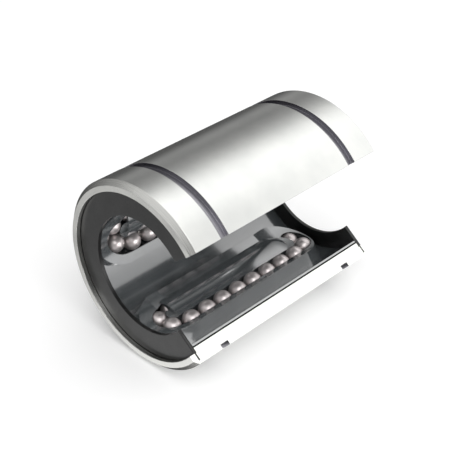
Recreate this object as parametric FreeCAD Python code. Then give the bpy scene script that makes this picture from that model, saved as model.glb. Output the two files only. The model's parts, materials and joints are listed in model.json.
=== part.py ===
import FreeCAD, Part

import math
import os

# Linear ball bushing for a 20 mm shaft, shown with one sector cut away so that its inside can be seen.
# Frame: +X runs along the shaft axis from the front end to the rear end, +Z is up.
# The origin is on the shaft axis, halfway along the bushing. Angles turn about +X, from +Y towards +Z.

# Boundary sizes
shaft_diameter = 20.0
outside_diameter = 32.0
bushing_length = 42.0
end_chamfer = 0.8

# Circlip grooves in the outside of the sleeve
circlip_groove_diameter = 30.5
circlip_groove_width = 1.6
circlip_groove_span = 30.5  # outer edge to outer edge

# The sector that is cut away, in degrees about the shaft axis
cut_start = 140.0
cut_end = 218.0

# Balls and their circuits
ball_diameter = 3.175
circuit_angles = {1: 270.0, 2: 0.0, 3: 90.0}  # the fourth circuit lies in the cut-away sector
turn_radius = 2.6
turn_lift = 0.06  # extra distance from the shaft for balls that leave the loaded row
return_row_radius = 12.55
straight_half_length = 13.8
circuit_shift = 0.3
row_ball_count = 8
circuit_ball_count = 20
track_clearance = 0.09

# Inside of the sleeve
sleeve_bore_radius = 13.45
raceway_radius = 13.19
raceway_half_angle = 5.0
relief_radius = 14.2
relief_half_angle = 21.0
relief_inner_angle = 4.0
turn_pocket_clearance = 0.5
turn_pocket_overrun = 0.9  # how far a turn's pocket runs on over the straight rows
lip_bore_radius = 14.25
seal_groove_radius = 15.5

# Cage
cage_length = 39.0
cage_outer_radius = 13.2
cage_shell_inner_radius = 12.9
block_inner_radius = 10.85
block_half_angle = 29.0
block_rear_inset = 1.7  # how far the block's rear end is rounded about a point ahead of the rear turn
block_return_radius = 11.4  # inner surface beside the cover, on the return row's side
block_return_ramp = 1.5  # half length of the ramps that lead down to that surface
cover_crest_radius = 10.2
cover_round_radius = 6.0
cover_crest_angle = 5.6  # from the circuit's middle towards the return row

# End seals
seal_lip_radius = 10.02
seal_rubber_radius = 14.1
seal_rubber_thickness = 0.6
seal_core_inner_radius = 11.0
seal_core_radius = 15.45
seal_core_thickness = 0.25
seal_face_depth = 0.85  # from the bushing's end face to the seal's outer face
seal_groove_clearance = 0.02

# Fused shapes reach this far into their neighbour, and cutting shapes this far past what they cut
overlap = 0.1
cut_margin = 1.0

# Derived sizes
ball_radius = ball_diameter / 2
shaft_radius = shaft_diameter / 2
outside_radius = outside_diameter / 2
half_length = bushing_length / 2
track_radius = ball_radius + track_clearance
loaded_row_radius = shaft_radius + ball_radius
ball_path_length = 4 * straight_half_length + 2 * math.pi * turn_radius
ball_pitch = ball_path_length / circuit_ball_count
front_turn_x = circuit_shift - straight_half_length
rear_turn_x = circuit_shift + straight_half_length
axis_x = FreeCAD.Vector(1, 0, 0)
axis_z = FreeCAD.Vector(0, 0, 1)
origin = FreeCAD.Vector(0, 0, 0)


def turned_ring(outline):
    """Turn a closed outline of (x, radius) points about the shaft axis."""
    points = [FreeCAD.Vector(x, 0, radius) for x, radius in outline]
    wire = Part.makePolygon(points + points[:1])
    return Part.Face(wire).revolve(origin, axis_x, 360)


def profile_sector(outline, start_angle, end_angle):
    """Turn a closed outline of (x, radius) points about the shaft axis, between two angles."""
    points = [FreeCAD.Vector(x, radius, 0) for x, radius in outline]
    face = Part.Face(Part.makePolygon(points + points[:1]))
    face.rotate(origin, axis_x, start_angle)
    return face.revolve(origin, axis_x, end_angle - start_angle)


def ring_sector(x_start, x_end, inner_radius, outer_radius, start_angle, end_angle):
    """A piece of a tube about the shaft axis, between two angles."""
    corners = [(x_start, inner_radius), (x_end, inner_radius), (x_end, outer_radius), (x_start, outer_radius)]
    return profile_sector(corners, start_angle, end_angle)


def box(x_range, y_range, z_range):
    """A box given by its low and high values along each axis."""
    low = FreeCAD.Vector(x_range[0], y_range[0], z_range[0])
    return Part.makeBox(
        x_range[1] - x_range[0],
        y_range[1] - y_range[0],
        z_range[1] - z_range[0],
        low,
    )


def cut_away(shape):
    """Remove the display sector."""
    reach = half_length + cut_margin
    sector = ring_sector(-reach, reach, 0, outside_radius + cut_margin, cut_start, cut_end)
    return shape.cut(sector)


def place_in_circuit(shape, circuit_angle):
    """Move a shape from the upright position, where the circuit faces +Z, to the circuit's own angle."""
    placed = shape.copy()
    placed.rotate(origin, axis_x, circuit_angle - 90)
    return placed


def row_height(row_radius):
    """Distance of a straight ball row from the shaft axis, measured along the circuit's own radial line."""
    return math.sqrt(row_radius ** 2 - turn_radius ** 2)


# Each turn lies in a plane that slopes from the loaded row down to the deeper return row
loaded_side_height = row_height(loaded_row_radius) + turn_lift
return_side_height = row_height(return_row_radius)
turn_height = (loaded_side_height + return_side_height) / 2
turn_tilt = math.degrees(math.atan2(return_side_height - loaded_side_height, 2 * turn_radius))
tilted_turn_radius = turn_radius / math.cos(math.radians(turn_tilt))


def sleeve_profile():
    """Half section of the sleeve, with chamfers, circlip grooves, seal grooves and end lips."""
    groove_edge = circlip_groove_span / 2
    groove_radius = circlip_groove_diameter / 2
    seal_groove_start = seal_face_depth + (seal_rubber_thickness - seal_core_thickness) / 2 - seal_groove_clearance
    seal_groove_end = seal_groove_start + seal_core_thickness + 2 * seal_groove_clearance
    seal_seat = seal_face_depth + seal_rubber_thickness
    rear_half = [
        (half_length - seal_seat, sleeve_bore_radius),
        (half_length - seal_seat, lip_bore_radius),
        (half_length - seal_groove_end, lip_bore_radius),
        (half_length - seal_groove_end, seal_groove_radius),
        (half_length - seal_groove_start, seal_groove_radius),
        (half_length - seal_groove_start, lip_bore_radius),
        (half_length, lip_bore_radius),
        (half_length, outside_radius - end_chamfer),
        (half_length - end_chamfer, outside_radius),
        (groove_edge, outside_radius),
        (groove_edge, groove_radius),
        (groove_edge - circlip_groove_width, groove_radius),
        (groove_edge - circlip_groove_width, outside_radius),
    ]
    front_half = [(-x, radius) for x, radius in reversed(rear_half)]
    return rear_half + front_half


def sleeve_relief(circuit_angle):
    """Clearance pockets in the sleeve's bore for the return row and both turns of one circuit."""
    reach = turn_radius + ball_radius + turn_pocket_clearance
    overrun = turn_pocket_overrun
    low = circuit_angle - relief_half_angle
    high = circuit_angle + relief_half_angle
    inside = raceway_radius - overlap
    pockets = [
        ring_sector(front_turn_x - reach, front_turn_x + overrun, inside, relief_radius, low, high),
        ring_sector(rear_turn_x - overrun, rear_turn_x + reach, inside, relief_radius, low, high),
        ring_sector(front_turn_x, rear_turn_x, inside, relief_radius, circuit_angle + relief_inner_angle, high),
    ]
    return pockets[0].fuse(pockets[1:])


def make_sleeve():
    """Hardened steel sleeve with a raised raceway land over each loaded ball row."""
    sleeve = turned_ring(sleeve_profile())
    land_angle = math.degrees(math.asin(turn_radius / loaded_row_radius))
    lands = []
    for circuit_angle in circuit_angles.values():
        middle = circuit_angle - land_angle
        lands.append(
            ring_sector(
                front_turn_x,
                rear_turn_x,
                raceway_radius,
                sleeve_bore_radius + overlap,
                middle - raceway_half_angle,
                middle + raceway_half_angle,
            )
        )
    sleeve = sleeve.fuse(lands)
    for circuit_angle in circuit_angles.values():
        sleeve = sleeve.cut(sleeve_relief(circuit_angle))
    return cut_away(sleeve).removeSplitter()


def circuit_block():
    """Raised block around one ball circuit: two radial sides and cone-shaped ends, facing +Z."""
    spread = math.tan(math.radians(block_half_angle))
    height = cage_outer_radius + cut_margin
    front = front_turn_x
    rear = rear_turn_x - block_rear_inset
    ends = [Part.makeCone(0, height * spread, height, FreeCAD.Vector(x, 0, 0), axis_z) for x in (front, rear)]
    low = 90 - block_half_angle
    high = 90 + block_half_angle
    outline = ring_sector(front, rear, block_inner_radius - cut_margin, cage_outer_radius, low, high).fuse(ends)
    inner_surface = [
        (-cage_length / 2, block_inner_radius),
        (cage_length / 2, block_inner_radius),
        (cage_length / 2, cage_outer_radius),
        (-cage_length / 2, cage_outer_radius),
    ]
    lowered_side = [
        (front - block_return_ramp, block_inner_radius - cut_margin),
        (front - block_return_ramp, block_inner_radius),
        (front + block_return_ramp, block_return_radius),
        (rear - block_return_ramp, block_return_radius),
        (rear + block_return_ramp, block_inner_radius),
        (rear + block_return_ramp, block_inner_radius - cut_margin),
    ]
    block = outline.common(turned_ring(inner_surface))
    return block.cut(profile_sector(lowered_side, 90, high + cut_margin))


def return_cover():
    """Rounded ridge over the return row. It keeps the returning balls off the shaft."""
    lean = math.radians(cover_crest_angle)
    centre_radius = cover_crest_radius + cover_round_radius
    centre_y = -centre_radius * math.sin(lean)
    centre_z = centre_radius * math.cos(lean)
    drop = block_inner_radius - cover_crest_radius
    nose_length = math.sqrt(cover_round_radius ** 2 - (cover_round_radius - drop) ** 2)
    start = FreeCAD.Vector(front_turn_x, centre_y, centre_z)
    end = FreeCAD.Vector(rear_turn_x - nose_length, centre_y, centre_z)
    ridge = Part.makeCylinder(cover_round_radius, end.x - start.x, start, axis_x)
    ridge = ridge.fuse(Part.makeSphere(cover_round_radius, end))
    outline = box(
        (front_turn_x, rear_turn_x),
        (-turn_radius - track_radius, turn_radius),
        (cover_crest_radius - cut_margin, row_height(return_row_radius)),
    )
    return ridge.common(outline)


def track_cutter():
    """The space that one circuit of balls runs in, facing +Z and open towards the sleeve."""
    top = cage_outer_radius + cut_margin
    pieces = []
    for side, row_radius in ((1, loaded_row_radius), (-1, return_row_radius)):
        height = row_height(row_radius)
        start = FreeCAD.Vector(front_turn_x, side * turn_radius, height)
        pieces.append(Part.makeCylinder(track_radius, rear_turn_x - front_turn_x, start, axis_x))
        low = side * turn_radius - track_radius
        pieces.append(box((front_turn_x, rear_turn_x), (low, low + 2 * track_radius), (height, top)))
    for x_turn, first_angle in ((front_turn_x, 90), (rear_turn_x, -90)):
        centre = FreeCAD.Vector(x_turn, 0, turn_height)
        ring = Part.makeTorus(tilted_turn_radius, track_radius, centre, axis_z, -180, 180, 180)
        wall = Part.makeCylinder(tilted_turn_radius + track_radius, top - turn_height, centre, axis_z, 180)
        core = Part.makeCylinder(tilted_turn_radius - track_radius, top - turn_height, centre, axis_z, 180)
        for piece in (ring, wall.cut(core)):
            piece.rotate(centre, axis_z, first_angle)
            piece.rotate(centre, axis_x, -turn_tilt)
            pieces.append(piece)
    return pieces


def make_cage():
    """Moulded cage: a thin shell with one raised block per ball circuit."""
    cage = turned_ring(
        [
            (-cage_length / 2, cage_shell_inner_radius),
            (cage_length / 2, cage_shell_inner_radius),
            (cage_length / 2, cage_outer_radius),
            (-cage_length / 2, cage_outer_radius),
        ]
    )
    block = circuit_block().fuse(return_cover())
    for piece in track_cutter():
        block = block.cut(piece)
    for circuit_angle in circuit_angles.values():
        for piece in track_cutter():
            cage = cage.cut(place_in_circuit(piece, circuit_angle))
        cage = cage.fuse(place_in_circuit(block, circuit_angle))
    return cut_away(cage).removeSplitter()


def mirror_to_rear(shape):
    """Mirror a front-end part to the rear end."""
    return shape.mirror(origin, axis_x)


def seal_ring(inner_radius, outer_radius, depth, thickness):
    """A flat ring at the front end, whose outer face lies at the given depth below the end face."""
    x_start = -half_length + depth
    return turned_ring(
        [
            (x_start, inner_radius),
            (x_start + thickness, inner_radius),
            (x_start + thickness, outer_radius),
            (x_start, outer_radius),
        ]
    )


def make_seal():
    """Steel core ring, which snaps into the sleeve's groove, and the rubber moulded around it."""
    core_depth = seal_face_depth + (seal_rubber_thickness - seal_core_thickness) / 2
    core = seal_ring(seal_core_inner_radius, seal_core_radius, core_depth, seal_core_thickness)
    rubber = seal_ring(seal_lip_radius, seal_rubber_radius, seal_face_depth, seal_rubber_thickness)
    rubber = rubber.cut(core)
    return cut_away(core), cut_away(rubber)


def ball(x, y, z):
    """One ball, in the upright circuit."""
    return Part.makeSphere(ball_radius, FreeCAD.Vector(x, y, z))


def row_balls(side, row_radius):
    """The balls of one straight row."""
    first = circuit_shift - ball_pitch * (row_ball_count - 1) / 2
    height = row_height(row_radius)
    return [ball(first + index * ball_pitch, side * turn_radius, height) for index in range(row_ball_count)]


def turn_ball(end, side):
    """One of the two balls in a turn. end is -1 at the front, side is +1 next to the loaded row."""
    swing = ball_pitch / 2 / tilted_turn_radius
    x_turn = front_turn_x if end < 0 else rear_turn_x
    centre = FreeCAD.Vector(x_turn, 0, turn_height)
    across = side * tilted_turn_radius * math.sin(swing)
    shape = ball(x_turn + end * tilted_turn_radius * math.cos(swing), across, turn_height)
    shape.rotate(centre, axis_x, -turn_tilt)
    return shape


def save(name, shapes):
    """Write one node. Several shapes become a group of separate solids."""
    shape = shapes[0] if len(shapes) == 1 else Part.makeCompound(shapes)
    shape.exportStep(os.path.join("parts", name + ".step"))


def main():
    os.makedirs("parts", exist_ok=True)
    save("outer_sleeve", [make_sleeve()])
    save("ball_cage", [make_cage()])
    core, rubber = make_seal()
    save("front_seal_core", [core])
    save("front_seal_rubber", [rubber])
    save("rear_seal_core", [mirror_to_rear(core)])
    save("rear_seal_rubber", [mirror_to_rear(rubber)])
    for number, circuit_angle in circuit_angles.items():
        name = "circuit_" + str(number)
        groups = {
            name + "_loaded_balls": row_balls(1, loaded_row_radius),
            name + "_return_balls": row_balls(-1, return_row_radius),
            name + "_front_turn_ball_a": [turn_ball(-1, 1)],
            name + "_front_turn_ball_b": [turn_ball(-1, -1)],
            name + "_rear_turn_ball_a": [turn_ball(1, 1)],
            name + "_rear_turn_ball_b": [turn_ball(1, -1)],
        }
        for group_name, balls in groups.items():
            save(group_name, [place_in_circuit(shape, circuit_angle) for shape in balls])


main()
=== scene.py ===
import json
import math

import bpy
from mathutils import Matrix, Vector


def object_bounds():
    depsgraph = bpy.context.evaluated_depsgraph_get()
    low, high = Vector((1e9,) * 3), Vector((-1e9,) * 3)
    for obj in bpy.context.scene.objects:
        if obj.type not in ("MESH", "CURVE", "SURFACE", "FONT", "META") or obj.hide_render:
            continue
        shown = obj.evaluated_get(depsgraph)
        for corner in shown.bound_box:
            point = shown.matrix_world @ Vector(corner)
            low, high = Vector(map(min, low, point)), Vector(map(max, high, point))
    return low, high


# Looks of the sectioned linear ball bushing. Lengths are in metres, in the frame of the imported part:
# +X runs along the shaft axis from the front end to the rear end, and +Z is up.

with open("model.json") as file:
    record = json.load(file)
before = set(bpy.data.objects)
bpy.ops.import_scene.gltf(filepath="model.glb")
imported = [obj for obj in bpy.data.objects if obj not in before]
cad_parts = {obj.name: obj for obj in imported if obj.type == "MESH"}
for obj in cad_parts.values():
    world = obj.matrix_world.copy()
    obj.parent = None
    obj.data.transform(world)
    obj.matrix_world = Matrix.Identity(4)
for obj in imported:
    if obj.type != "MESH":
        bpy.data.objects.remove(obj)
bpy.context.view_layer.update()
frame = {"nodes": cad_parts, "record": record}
nodes = frame["nodes"]
scene = bpy.context.scene

MM = 0.001

# Where the sleeve's finishes change, in millimetres from the shaft axis or from the middle
OUTSIDE_RADIUS = 16.0
GROOVE_INNER, GROOVE_OUTER = 13.6, 15.3
END_RING = 20.15
CUT_ANGLES = (140.0, 218.0)

# Brightness of the surroundings, as a share of the strongest: (place from -1 to 1, level)
WORLD_STRENGTH = 1.5
SOFT_LIGHT_SIDE = (0, -0.7071, 0.7071)
REAR_LEVELS = [(-1.0, 0.04), (-0.62, 0.07), (-0.42, 0.21), (-0.22, 0.16), (-0.02, 0.24), (0.15, 0.40), (0.30, 0.66),
               (0.42, 0.86), (0.55, 0.97), (0.72, 0.88), (0.82, 0.66)]
FRONT_LEVELS = [(-1.0, 0.95), (-0.68, 1.00), (-0.62, 0.60), (-0.56, 0.20), (-0.49, 0.55), (0.0, 0.24), (0.35, 0.24),
                (0.90, 0.80)]


class Graph:
    """Builds one node material with short calls."""

    def __init__(self, name):
        self.material = bpy.data.materials.new(name)
        self.material.use_nodes = True
        self.tree = self.material.node_tree
        self.shader = self.tree.nodes["Principled BSDF"]

    def add(self, kind, **settings):
        node = self.tree.nodes.new(kind)
        for key, value in settings.items():
            setattr(node, key, value)
        return node

    def feed(self, socket, value):
        """Connect a socket to an output, or give it a constant."""
        if isinstance(value, bpy.types.NodeSocket):
            self.tree.links.new(value, socket)
        elif isinstance(value, tuple) and len(value) == 3 and socket.type == "RGBA":
            socket.default_value = (*value, 1)
        else:
            socket.default_value = value

    def set(self, **values):
        """Inputs of the shader, by socket name with _ for a space."""
        for key, value in values.items():
            self.feed(self.shader.inputs[key.replace("_", " ")], value)

    def coordinates(self, scale=(1, 1, 1)):
        """Object coordinates in millimetres, stretched by scale."""
        source = self.add("ShaderNodeTexCoord").outputs["Object"]
        mapping = self.add("ShaderNodeMapping")
        mapping.inputs["Scale"].default_value = [s / MM for s in scale]
        self.feed(mapping.inputs["Vector"], source)
        return mapping.outputs["Vector"]

    def math(self, operation, first, second=0.0):
        node = self.add("ShaderNodeMath", operation=operation)
        self.feed(node.inputs[0], first)
        self.feed(node.inputs[1], second)
        return node.outputs[0]

    def noise(self, vector, scale, detail=3.0, roughness=0.5):
        node = self.add("ShaderNodeTexNoise")
        node.inputs["Scale"].default_value = scale
        node.inputs["Detail"].default_value = detail
        node.inputs["Roughness"].default_value = roughness
        self.feed(node.inputs["Vector"], vector)
        return node.outputs["Fac"]

    def spread(self, value, low, high, from_low=0.3, from_high=0.7):
        """Map a value from one range onto another."""
        node = self.add("ShaderNodeMapRange", clamp=True)
        for name, number in zip(("From Min", "From Max", "To Min", "To Max"), (from_low, from_high, low, high)):
            node.inputs[name].default_value = number
        self.feed(node.inputs["Value"], value)
        return node.outputs["Result"]

    def mix(self, factor, first, second):
        """Mix two colours. Each is a colour or an output."""
        node = self.add("ShaderNodeMix", data_type="RGBA")
        self.feed(node.inputs["Factor"], factor)
        self.feed(node.inputs[6], first)
        self.feed(node.inputs[7], second)
        return node.outputs[2]

    def blend(self, factor, first, second):
        """Mix two numbers. Each is a number or an output."""
        node = self.add("ShaderNodeMix", data_type="FLOAT")
        self.feed(node.inputs["Factor"], factor)
        self.feed(node.inputs[2], first)
        self.feed(node.inputs[3], second)
        return node.outputs[0]

    def relief(self, height, strength, distance_mm, edge_mm=0.0):
        """Bump from a height, over edges that are rounded by edge_mm."""
        node = self.add("ShaderNodeBump")
        node.inputs["Strength"].default_value = strength
        node.inputs["Distance"].default_value = distance_mm * MM
        self.feed(node.inputs["Height"], height)
        if edge_mm:
            edge = self.add("ShaderNodeBevel", samples=4)
            edge.inputs["Radius"].default_value = edge_mm * MM
            self.feed(node.inputs["Normal"], edge.outputs["Normal"])
        self.set(Normal=node.outputs["Normal"])

    def cylindrical(self):
        """Position along the shaft axis and distance from it, both in millimetres."""
        split = self.add("ShaderNodeSeparateXYZ")
        self.feed(split.inputs[0], self.coordinates())
        x, y, z = split.outputs
        radius = self.math("SQRT", self.math("ADD", self.math("MULTIPLY", y, y), self.math("MULTIPLY", z, z)))
        return x, radius

    def on_cut_faces(self):
        """1 on the two flat faces of the cut-away sector, 0 elsewhere."""
        normal = self.add("ShaderNodeNewGeometry").outputs["True Normal"]
        position = self.coordinates()
        total = 0.0
        for angle, side in zip(CUT_ANGLES, (1, -1)):
            a = math.radians(angle)
            facing = (0, -side * math.sin(a), side * math.cos(a))
            parallel = self.math("GREATER_THAN", self.dot(normal, facing), 0.9995)
            on_plane = self.math("LESS_THAN", self.math("ABSOLUTE", self.dot(position, facing)), 0.05)
            total = self.math("ADD", self.math("MULTIPLY", parallel, on_plane), total)
        return self.math("MINIMUM", total, 1.0)

    def dot(self, vector, direction):
        node = self.add("ShaderNodeVectorMath", operation="DOT_PRODUCT")
        self.feed(node.inputs[0], vector)
        node.inputs[1].default_value = direction
        return node.outputs["Value"]


def ground_steel():
    """Outer sleeve: ground outside, turned grooves and end faces, pale sawn faces."""
    g = Graph("ground_steel")
    x, radius = g.cylindrical()
    from_middle = g.math("ABSOLUTE", x)
    grinding = g.noise(g.coordinates((14, 0.6, 0.6)), 1.0, 5, 0.6)
    turning = g.noise(g.coordinates((30, 0.15, 0.15)), 1.0, 2)
    cloud = g.noise(g.coordinates(), 0.22, 3)
    speckle = g.noise(g.coordinates(), 9.0, 4, 0.6)
    cut = g.on_cut_faces()
    groove = g.math("MULTIPLY", g.math("LESS_THAN", radius, OUTSIDE_RADIUS - 0.03),
                    g.math("MULTIPLY", g.math("GREATER_THAN", from_middle, GROOVE_INNER),
                           g.math("LESS_THAN", from_middle, GROOVE_OUTER)))
    ends = g.math("GREATER_THAN", from_middle, END_RING)
    turned = g.math("MAXIMUM", groove, ends)
    outside = g.mix(g.spread(cloud, 0, 1), (0.71, 0.72, 0.70), (0.78, 0.785, 0.76))
    end_faces = g.mix(g.spread(turning, 0, 1), (0.66, 0.66, 0.64), (0.76, 0.76, 0.73))
    machined = g.mix(groove, end_faces, (0.31, 0.305, 0.33))
    sawn = g.mix(g.spread(speckle, 0, 1), (0.88, 0.89, 0.84), (0.94, 0.95, 0.90))
    g.set(Base_Color=g.mix(cut, g.mix(turned, outside, machined), sawn))
    g.set(Metallic=g.blend(cut, 1.0, 0.0))
    shine = g.blend(turned, g.spread(grinding, 0.15, 0.24), g.spread(turning, 0.20, 0.30))
    g.set(Roughness=g.blend(cut, shine, g.spread(speckle, 0.45, 0.6)))
    grinding_marks = g.math("MULTIPLY", grinding, 0.6)
    turning_marks = g.math("MULTIPLY", turning, g.spread(turned, 0, 1, 0, 1))
    g.relief(g.math("ADD", grinding_marks, turning_marks), 0.12, 0.006, 0.12)
    return g.material


def bearing_ball():
    """Polished balls with a faint film of oil."""
    g = Graph("polished_ball_steel")
    film = g.noise(g.coordinates(), 1.3, 3)
    fine = g.noise(g.coordinates(), 8.0, 3)
    g.set(Metallic=0.85, Base_Color=g.mix(g.spread(film, 0, 1), (0.58, 0.53, 0.53), (0.69, 0.64, 0.63)))
    g.set(Roughness=g.spread(fine, 0.36, 0.44))
    g.set(Coat_Weight=0.5, Coat_Roughness=0.14)
    return g.material


def moulded_plastic():
    """Cage: dark glossy moulding with drawn flow lines along the shaft."""
    g = Graph("moulded_cage_plastic")
    flow = g.noise(g.coordinates((0.12, 1.6, 1.6)), 1.0, 4, 0.55)
    fine = g.noise(g.coordinates(), 7.0, 3)
    cloud = g.noise(g.coordinates(), 0.3, 2)
    cut = g.on_cut_faces()
    skin = g.mix(g.spread(cloud, 0, 1), (0.060, 0.067, 0.071), (0.088, 0.097, 0.102))
    g.set(Base_Color=g.mix(cut, skin, (0.30, 0.31, 0.31)))
    g.set(Roughness=g.blend(cut, g.spread(flow, 0.14, 0.24), 0.5))
    g.set(IOR=1.8, Coat_Weight=1.0, Coat_Roughness=0.09, Coat_IOR=2.3)
    g.relief(g.math("ADD", flow, g.math("MULTIPLY", fine, 0.25)), 0.10, 0.02, 0.15)
    return g.material


def nitrile_rubber():
    g = Graph("nitrile_rubber")
    fine = g.noise(g.coordinates(), 6.0, 4)
    cloud = g.noise(g.coordinates(), 0.5, 2)
    g.set(Base_Color=g.mix(g.spread(cloud, 0, 1), (0.004, 0.004, 0.004), (0.010, 0.010, 0.010)))
    g.set(Roughness=g.spread(fine, 0.26, 0.40), Specular_IOR_Level=0.3, Coat_Weight=0.35, Coat_Roughness=0.14)
    g.relief(fine, 0.12, 0.01, 0.1)
    return g.material


def blackened_steel():
    g = Graph("blackened_seal_steel")
    fine = g.noise(g.coordinates(), 4.0, 4)
    g.set(Base_Color=g.mix(g.spread(fine, 0, 1), (0.015, 0.015, 0.015), (0.03, 0.03, 0.03)))
    g.set(Roughness=g.spread(fine, 0.4, 0.55))
    g.relief(fine, 0.1, 0.01)
    return g.material


def paint(name, material):
    data = nodes[name].data
    data.materials.clear()
    data.materials.append(material)


def paint_all():
    finishes = {
        "sleeve_steel": ground_steel(),
        "ball_steel": bearing_ball(),
        "cage_plastic": moulded_plastic(),
        "seal_rubber": nitrile_rubber(),
        "seal_steel": blackened_steel(),
    }
    for part in frame["record"]["subparts"]:
        paint(part["node"], finishes[part["material_slot"]])


def make_floor():
    """Pale floor under the bushing."""
    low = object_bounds()[0]
    size = 3.0
    mesh = bpy.data.meshes.new("floor")
    corners = [(-size, -size, low.z), (size, -size, low.z), (size, size, low.z), (-size, size, low.z)]
    mesh.from_pydata(corners, [], [(0, 1, 2, 3)])
    g = Graph("pale_floor")
    patch = g.noise(g.coordinates(), 0.02, 3)
    g.set(Base_Color=g.mix(g.spread(patch, 0, 1), (0.915, 0.915, 0.915), (0.93, 0.93, 0.93)))
    g.set(Roughness=0.95, Specular_IOR_Level=0.0, Emission_Color=(1.0, 1.0, 1.0), Emission_Strength=0.12)
    mesh.materials.append(g.material)
    floor = bpy.data.objects.new("floor", mesh)
    floor.visible_glossy = False
    scene.collection.objects.link(floor)


def area_light(name, direction, distance, size, power, target=(0, 0, 0)):
    """A softbox in a direction from the bushing."""
    data = bpy.data.lights.new(name, "AREA")
    data.shape = "RECTANGLE"
    data.size, data.size_y = size
    data.energy = power
    lamp = bpy.data.objects.new(name, data)
    place = Vector(direction).normalized() * distance
    lamp.location = place
    lamp.rotation_mode = "QUATERNION"
    lamp.rotation_quaternion = (Vector(target) - place).to_track_quat("-Z", "Y")
    scene.collection.objects.link(lamp)


def make_world():
    """Studio surroundings: a broad soft light up and to the -Y side, fading to dim on the far side below."""
    world = bpy.data.worlds.new("studio")
    world.use_nodes = True
    tree = world.node_tree
    background = tree.nodes["Background"]
    direction = tree.nodes.new("ShaderNodeTexCoord").outputs["Generated"]
    split = tree.nodes.new("ShaderNodeSeparateXYZ")
    tree.links.new(direction, split.inputs[0])

    toward = tree.nodes.new("ShaderNodeVectorMath")
    toward.operation = "DOT_PRODUCT"
    toward.inputs[1].default_value = SOFT_LIGHT_SIDE
    tree.links.new(direction, toward.inputs[0])
    rear = level_ramp(tree, toward.outputs["Value"], REAR_LEVELS)
    front = level_ramp(tree, split.outputs["Z"], FRONT_LEVELS)

    sweep = tree.nodes.new("ShaderNodeMapRange")
    sweep.interpolation_type = "SMOOTHSTEP"
    sweep.inputs["From Min"].default_value = -0.45
    sweep.inputs["From Max"].default_value = 0.15
    tree.links.new(split.outputs["X"], sweep.inputs["Value"])
    join = tree.nodes.new("ShaderNodeMix")
    join.data_type = "RGBA"
    tree.links.new(sweep.outputs["Result"], join.inputs["Factor"])
    tree.links.new(front, join.inputs[6])
    tree.links.new(rear, join.inputs[7])
    tree.links.new(join.outputs[2], background.inputs["Color"])
    background.inputs["Strength"].default_value = WORLD_STRENGTH
    scene.world = world


def level_ramp(tree, value, levels):
    """Grey level that follows a value from -1 to 1 through the given points."""
    shift = tree.nodes.new("ShaderNodeMapRange")
    shift.inputs["From Min"].default_value = -1
    ramp = tree.nodes.new("ShaderNodeValToRGB")
    tree.links.new(value, shift.inputs["Value"])
    tree.links.new(shift.outputs["Result"], ramp.inputs["Fac"])
    elements = ramp.color_ramp.elements
    for index, (place, level) in enumerate(levels):
        element = elements[index] if index < 2 else elements.new((place + 1) / 2)
        element.position = (place + 1) / 2
        element.color = (level, level, level, 1)
    return ramp.outputs["Color"]


def make_camera():
    data = bpy.data.cameras.new("camera")
    data.sensor_width = 36
    data.lens = 89.14
    data.clip_start = 0.01
    camera = bpy.data.objects.new("camera", data)
    camera.location = Vector((-109.47, -104.81, 99.86)) * MM
    camera.rotation_mode = "QUATERNION"
    camera.rotation_quaternion = Vector((0.5978, 0.5823, -0.5509)).to_track_quat("-Z", "Y")
    scene.collection.objects.link(camera)
    scene.camera = camera


paint_all()
make_floor()
make_world()
make_camera()
area_light("front_softbox", (0.1, -1.0, 0.1), 0.35, (0.20, 0.08), 0.35)
area_light("overhead_softbox", (-0.3, -0.6, 0.75), 0.4, (0.25, 0.25), 0.45)
scene.view_settings.view_transform = "Standard"
